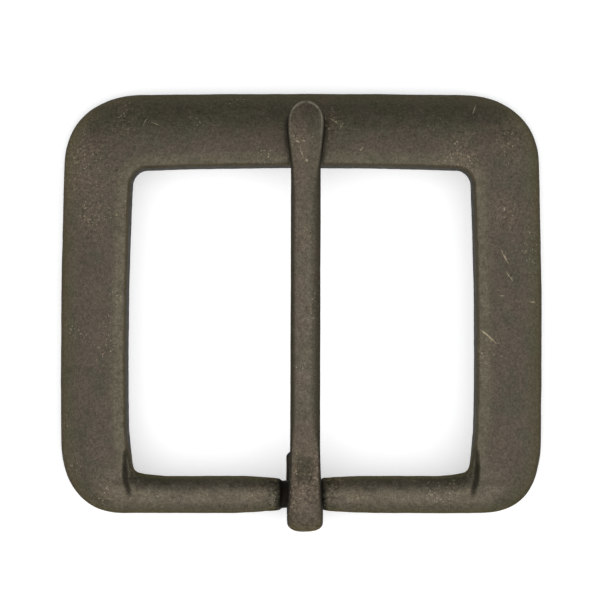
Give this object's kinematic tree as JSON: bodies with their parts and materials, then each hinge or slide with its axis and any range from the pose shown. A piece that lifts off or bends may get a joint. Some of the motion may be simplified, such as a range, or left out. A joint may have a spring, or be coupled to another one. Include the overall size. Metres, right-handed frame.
{
  "type": "belt buckle",
  "caption": "Rounded rectangular heel-bar belt buckle with a domed rim, a flat back and a hooked prong that swings on the necked bar and rests on the far rail.",
  "frame": {"origin": "under the middle of the whole buckle, on the plane of its flat back, which it lies on", "axes": "+X along the heel bar, +Y from the heel bar to the far rail, +Z out of the face"},
  "size_m": [0.0566, 0.0514, 0.0091],
  "materials": {
    "frame_metal": "antiqued: a semi-matt dark olive-brown patina, rubbed a little lighter beside the opening",
    "prong_metal": "antiqued: the same patina, handled a little lighter and warmer"
  },
  "bodies": {
    "frame": {"buckle_frame": "frame_metal"},
    "prong": {"prong": "prong_metal"}
  },
  "joints": [
    {"name": "prong_swing", "type": "hinge", "parent": "frame", "child": "prong", "pos_m": [0.00043, -0.02132, 0.0045], "axis": [1, 0, 0], "range_deg": [0, 175]}
  ]
}
